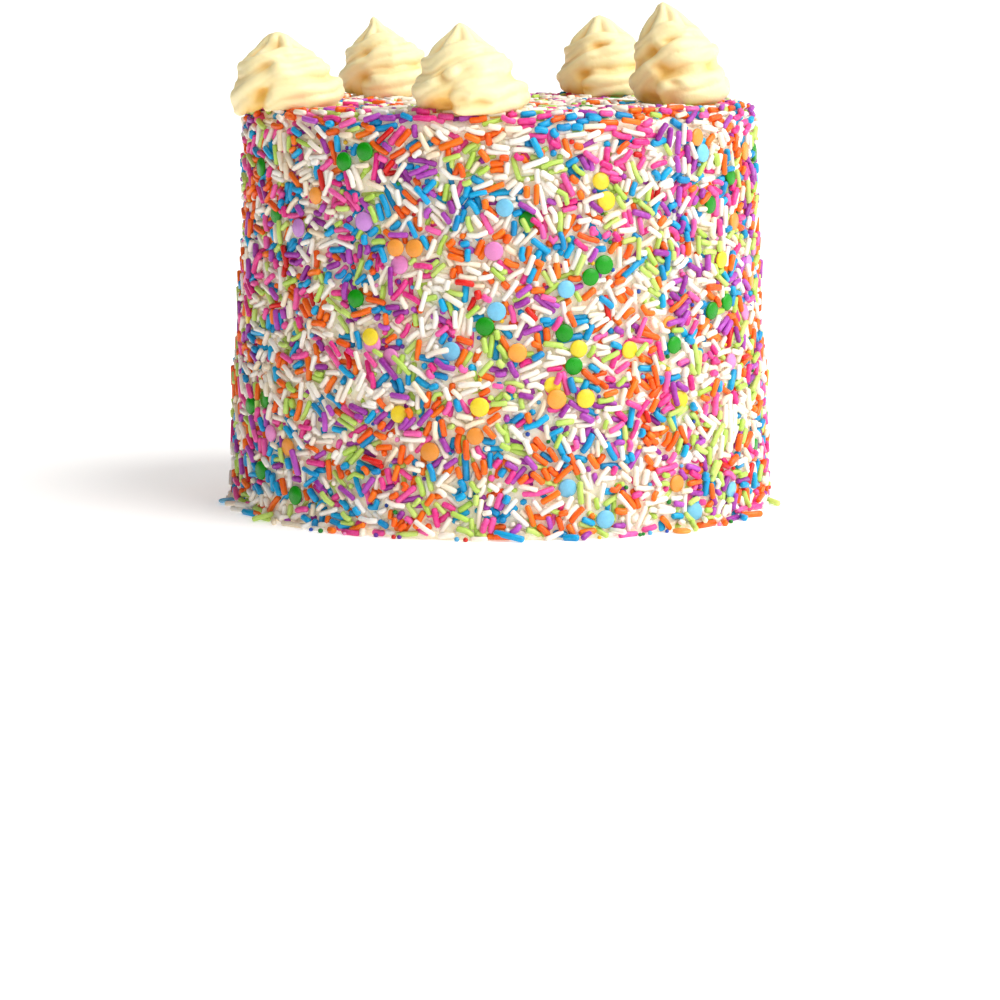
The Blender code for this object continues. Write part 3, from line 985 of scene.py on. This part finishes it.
def ringTemplate(sides, rings):
    # a lathe form along X between two poles, from (distance, radius) pairs
    bm = bmesh.new()
    loops = []
    for x, radius in rings:
        turns = [math.tau * i / sides for i in range(sides)]
        loops.append([Vector((x, radius * math.cos(a), radius * math.sin(a))) for a in turns])
    first, last = extrudeRings(bm, loops)
    for loop in (list(reversed(first)), last):
        bmesh.ops.poke(bm, faces=[bm.faces.new(loop)])
    bmesh.ops.recalc_face_normals(bm, faces=bm.faces)
    return bm


def rodTemplate():
    end = 1.0 + 0.8 * roundEnd
    bm = ringTemplate(6, [(-end, 0.66), (-1.0, 1.0), (0.0, 1.0), (1.0, 1.0), (end, 0.66)])
    for vert in bm.verts:
        if math.hypot(vert.co.y, vert.co.z) < 0.01:
            vert.co.x = math.copysign(1.0 + roundEnd, vert.co.x)
    return bm


def templateArrays(bm):
    bm.verts.ensure_lookup_table()
    bm.verts.index_update()
    points = np.array([vert.co[:] for vert in bm.verts])
    faces = [[vert.index for vert in face.verts] for face in bm.faces]
    bm.free()
    return points, faces


def scatterMesh(name, places, faces, material, attributes):
    # places is one row of points for each sprinkle, none of them below the floor
    places[..., 2] = np.maximum(places[..., 2], 0.0)
    count, size = places.shape[:2]
    mesh = bpy.data.meshes.new(name)
    every = [[index + size * k for index in face] for k in range(count) for face in faces]
    mesh.from_pydata((places.reshape(-1, 3) * mm).tolist(), [], every)
    for key, (kind, field, values) in attributes.items():
        data = mesh.attributes.new(key, kind, "POINT").data
        each = np.repeat(values.reshape(count, -1), size, axis=0)
        data.foreach_set(field, each.astype(np.float32).ravel())
    mesh.shade_smooth()
    mesh.materials.append(material)
    obj = bpy.data.objects.new(name, mesh)
    scene.collection.objects.link(obj)
    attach(obj, "root")
    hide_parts("cake")
    mesh.calc_loop_triangles()
    print(name + ":", count, "pieces,", len(mesh.loop_triangles), "triangles")
    return obj


def makeSugarGroup():
    # dyed sugar: a little uneven in colour and gloss, and finely pitted
    group = bpy.data.node_groups.new("sugar", "ShaderNodeTree")
    for name, kind in (("Light", "Color"), ("Deep", "Color"), ("Tint", "Float")):
        group.interface.new_socket(name, in_out="INPUT", socket_type="NodeSocket" + kind)
    for name, kind in (("Color", "Color"), ("Roughness", "Float"), ("Height", "Float")):
        group.interface.new_socket(name, in_out="OUTPUT", socket_type="NodeSocket" + kind)
    start = addNode(group, "NodeGroupInput", (-900, 0))
    end = addNode(group, "NodeGroupOutput", (400, 0))
    cloud = mottle(group, (-900, 250), 0.0011, 2.0)
    fine = mottle(group, (-900, -250), 0.00035, 2.0)
    shift = addNode(group, "ShaderNodeMath", (-650, 200), operation="MULTIPLY_ADD", use_clamp=True)
    group.links.new(remap(group, (-750, 350), cloud, 0.35, 0.65, -0.5, 0.5), shift.inputs[0])
    shift.inputs[1].default_value = 0.45
    group.links.new(start.outputs["Tint"], shift.inputs[2])
    colour = colourMix(group, (-350, 100), shift.outputs[0], start.outputs["Light"], start.outputs["Deep"])
    group.links.new(colour, end.inputs["Color"])
    group.links.new(remap(group, (-350, -200), fine, 0.3, 0.7, 0.24, 0.42), end.inputs["Roughness"])
    group.links.new(fine, end.inputs["Height"])
    return group


sugarGroup = makeSugarGroup()


def sugarMaterial(name, light, deep):
    # colours are given, or read from the named attribute of each sprinkle
    material, tree, shader = newMaterial(name)
    sugar = addNode(tree, "ShaderNodeGroup", (-500, 100), node_tree=sugarGroup)
    tint = addNode(tree, "ShaderNodeAttribute", (-900, -100), attribute_name="tint")
    tree.links.new(tint.outputs["Fac"], sugar.inputs["Tint"])
    if light:
        sugar.inputs["Light"].default_value = (*linear(light), 1.0)
        sugar.inputs["Deep"].default_value = (*linear(deep), 1.0)
    else:
        dye = addNode(tree, "ShaderNodeAttribute", (-900, 150), attribute_name="dye")
        tree.links.new(dye.outputs["Color"], sugar.inputs["Light"])
        dark = colourMix(tree, (-700, 0), 1.0, dye.outputs["Color"], (0.82, 0.8, 0.8), "MULTIPLY")
        tree.links.new(dark, sugar.inputs["Deep"])
    tree.links.new(sugar.outputs["Color"], shader.inputs["Base Color"])
    tree.links.new(sugar.outputs["Roughness"], shader.inputs["Roughness"])
    addBump(tree, (-250, -250), shader, sugar.outputs["Height"], 0.0002, 0.25)
    shader.inputs["Specular IOR Level"].default_value = 0.42
    return material


def dyes(colours, count):
    palette = np.array([[*linear(colour), 1.0] for colour in colours])
    return palette[draw.integers(0, len(palette), count)]


def buildSprinkles():
    coverTop(coverWall())
    ringFoot()
    points, faces = templateArrays(rodTemplate())
    body = np.clip(points[:, 0], -1.0, 1.0)
    cap = points[:, 0] - body
    for colour, values in rodColours.items():
        laid = np.array(rods[colour])
        middle, along, side = laid[:, 0:3], laid[:, 3:6], laid[:, 6:9]
        length, radius, bend = laid[:, 9:10], laid[:, 10:11], laid[:, 11:12]
        up = np.cross(along, side)
        farAlong = body * (length / 2 - roundEnd * radius) + cap * radius
        farSide = points[:, 1] * radius + bend * (1.0 / 3.0 - body ** 2)
        farUp = points[:, 2] * radius
        places = middle[:, None] + farAlong[..., None] * along[:, None]
        places += farSide[..., None] * side[:, None] + farUp[..., None] * up[:, None]
        tint = ("FLOAT", "value", draw.uniform(0.0, 1.0, len(laid)))
        sugar = sugarMaterial(colour + " sugar", *values[2:])
        scatterMesh(colour + "_rods", places, faces, sugar, {"tint": tint})

    mixed = sugarMaterial("mixed sugar", None, None)
    points, faces = templateArrays(ringTemplate(16, [(-0.5, 0.86), (-0.2, 1.0), (0.2, 1.0), (0.5, 0.86)]))
    laid = np.array(discs)
    middle, along, side = laid[:, 0:3], laid[:, 3:6], laid[:, 6:9]
    facing = np.cross(along, side)
    places = middle[:, None] + (points[:, 1] * laid[:, 9:10])[..., None] * along[:, None]
    places += (points[:, 2] * laid[:, 9:10])[..., None] * side[:, None]
    places += (points[:, 0] * laid[:, 10:11])[..., None] * facing[:, None]
    scatterMesh("confetti_discs", places, faces, mixed, {
        "dye": ("FLOAT_COLOR", "color", dyes(disc["colours"], len(laid))),
        "tint": ("FLOAT", "value", draw.uniform(0.0, 1.0, len(laid))),
    })

    bm = bmesh.new()
    bmesh.ops.create_icosphere(bm, subdivisions=2, radius=1.0)
    points, faces = templateArrays(bm)
    laid = np.array(balls)
    places = laid[:, None, :3] + points[None] * laid[:, None, 3:]
    scatterMesh("sugar_balls", places, faces, mixed, {
        "dye": ("FLOAT_COLOR", "color", dyes(ball["colours"], len(laid))),
        "tint": ("FLOAT", "value", draw.uniform(0.0, 1.0, len(laid))),
    })


buildSprinkles()


# Floor and light

studio = {
    "leftSky": 0.0,
    "rightSky": 0.86,
    "zenith": 0.3,  # more light from straight above
    "sun": 2.72,
    "sunAngle": 50.0,  # degrees; a wide sun throws soft shadows
    "sunFrom": (1.05, -0.55, 1.15),
    "floor": "FBFAF9",
    "floorGlow": 0.36,  # keeps the floor white beside the cake, as on a light table
}


def floorMaterial():
    material, tree, shader = newMaterial("studio floor")
    shade = remap(tree, (-500, 0), mottle(tree, (-750, 0), 0.4, 1.0), 0.3, 0.7, 0.0, 0.3)
    colour = colourMix(tree, (-250, 0), shade, linear(studio["floor"]), linear("F6F5F3"))
    tree.links.new(colour, shader.inputs["Base Color"])
    shader.inputs["Roughness"].default_value = 0.7
    tree.links.new(colour, shader.inputs["Emission Color"])
    shader.inputs["Emission Strength"].default_value = studio["floorGlow"]
    return material


def addFloor():
    bm = bmesh.new()
    bmesh.ops.create_circle(bm, cap_ends=True, segments=96, radius=25.0)
    floor = bmeshObject("floor", bm, floorMaterial())


def addLight():
    world = bpy.data.worlds.new("studio")
    world.use_nodes = True
    tree = world.node_tree
    where = addNode(tree, "ShaderNodeTexCoord", (-600, 0))
    parts = addNode(tree, "ShaderNodeSeparateXYZ", (-400, 0))
    tree.links.new(where.outputs["Generated"], parts.inputs[0])
    strength = remap(tree, (-200, 0), parts.outputs["X"], -0.7, 1.0, studio["leftSky"], studio["rightSky"])
    above = remap(tree, (-200, -250), parts.outputs["Z"], 0.2, 1.0, 0.0, studio["zenith"])
    total = addNode(tree, "ShaderNodeMath", (0, -100), operation="ADD")
    tree.links.new(strength, total.inputs[0])
    tree.links.new(above, total.inputs[1])
    background = tree.nodes["Background"]
    background.inputs["Color"].default_value = (1.0, 1.0, 1.0, 1.0)
    tree.links.new(total.outputs[0], background.inputs["Strength"])
    scene.world = world

    data = bpy.data.lights.new("sun", "SUN")
    data.energy = studio["sun"]
    data.angle = math.radians(studio["sunAngle"])
    data.color = (1.0, 0.985, 0.96)
    lamp = bpy.data.objects.new("sun", data)
    lamp.rotation_euler = Vector(studio["sunFrom"]).to_track_quat("Z", "Y").to_euler()
    scene.collection.objects.link(lamp)


addFloor()
addLight()
scene.view_settings.view_transform = "Standard"
print("floor and light in place")
